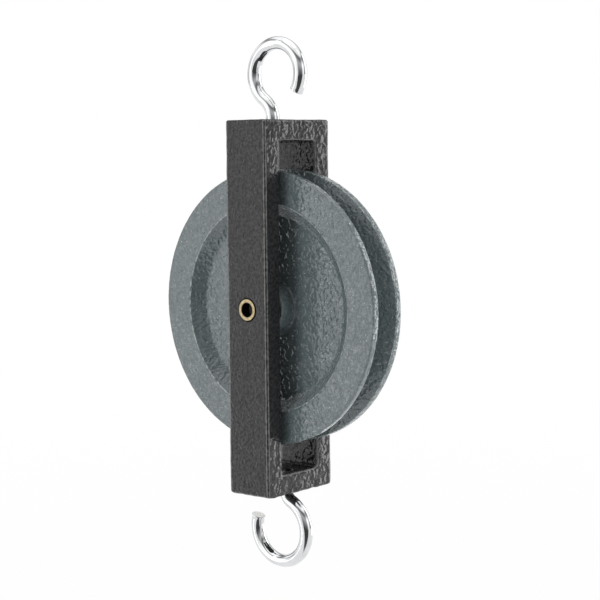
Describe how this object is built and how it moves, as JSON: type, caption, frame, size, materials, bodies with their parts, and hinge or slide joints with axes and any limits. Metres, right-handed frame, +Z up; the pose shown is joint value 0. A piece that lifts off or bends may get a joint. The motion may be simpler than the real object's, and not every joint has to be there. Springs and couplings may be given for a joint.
{
  "type": "demonstration pulley",
  "caption": "Grooved cast wheel turning on an axle in a slotted metal block, with an open wire hook above to hang it and one below for a load.",
  "frame": {"origin": "the seat of the top hook, on the inner top of its ring, where the pulley hangs", "axes": "+X along the wheel's axle towards the far leg, +Y through the slot towards the side where the top hook's wire rises, +Z up"},
  "size_m": [0.0354, 0.1, 0.1954],
  "materials": {
    "frame_paint": "charcoal hammered paint on a casting",
    "wheel_paint": "slate grey hammered paint on a casting",
    "axle_steel": "plain turned steel, dark with oil",
    "bush_brass": "turned brass",
    "hook_chrome": "bright plated wire"
  },
  "bodies": {
    "block": {"frame": "frame_paint", "near_bush": "bush_brass", "far_bush": "bush_brass", "top_hook": "hook_chrome", "bottom_hook": "hook_chrome"},
    "wheel_set": {"wheel": "wheel_paint", "axle": "axle_steel"}
  },
  "joints": [
    {"name": "wheel_spin", "type": "hinge", "parent": "block", "child": "wheel_set", "pos_m": [0, 0, -0.0929], "axis": [1, 0, 0], "continuous": true}
  ]
}
